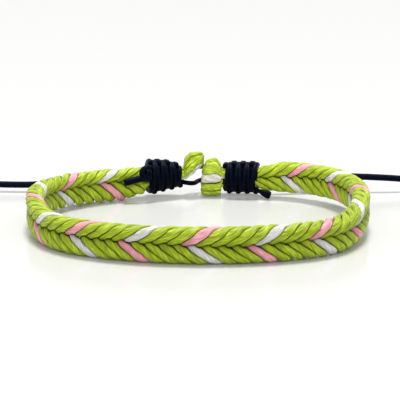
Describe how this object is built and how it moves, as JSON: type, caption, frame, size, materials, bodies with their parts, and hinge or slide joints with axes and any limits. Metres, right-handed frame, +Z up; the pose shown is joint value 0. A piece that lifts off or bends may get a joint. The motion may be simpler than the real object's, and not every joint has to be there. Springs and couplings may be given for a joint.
{
  "type": "braided cord bracelet",
  "caption": "Flat herringbone braid of waxed cords closed into a loop, with two wrapped sliding knots, fanned band ends and two pull cords at the back.",
  "frame": {"origin": "under the middle of the bracelet's box, on the surface that it lies on, pull cords not counted", "axes": "+Z up out of the wrist hollow, -Y to the plain front of the band, +Y to the knots, +X along the loop's long way"},
  "size_m": [0.1143, 0.0583, 0.0095],
  "materials": {
    "lime_cord": "waxed cotton cord, soft sheen",
    "white_cord": "waxed cotton cord, soft sheen",
    "pink_cord": "waxed cotton cord, soft sheen",
    "black_cord": "waxed cord, soft sheen"
  },
  "bodies": {
    "root": {"strand_white": "white_cord", "strand_pink": "pink_cord", "strand_green_1": "lime_cord", "strand_green_2": "lime_cord", "strand_green_3": "lime_cord", "strand_green_4": "lime_cord", "strand_green_5": "lime_cord", "strand_green_6": "lime_cord", "strand_green_7": "lime_cord", "knot_left": "black_cord", "knot_right": "black_cord", "pull_cord_left": "black_cord", "pull_cord_right": "black_cord", "end_knot_left": "black_cord", "end_knot_right": "black_cord"}
  },
  "joints": []
}
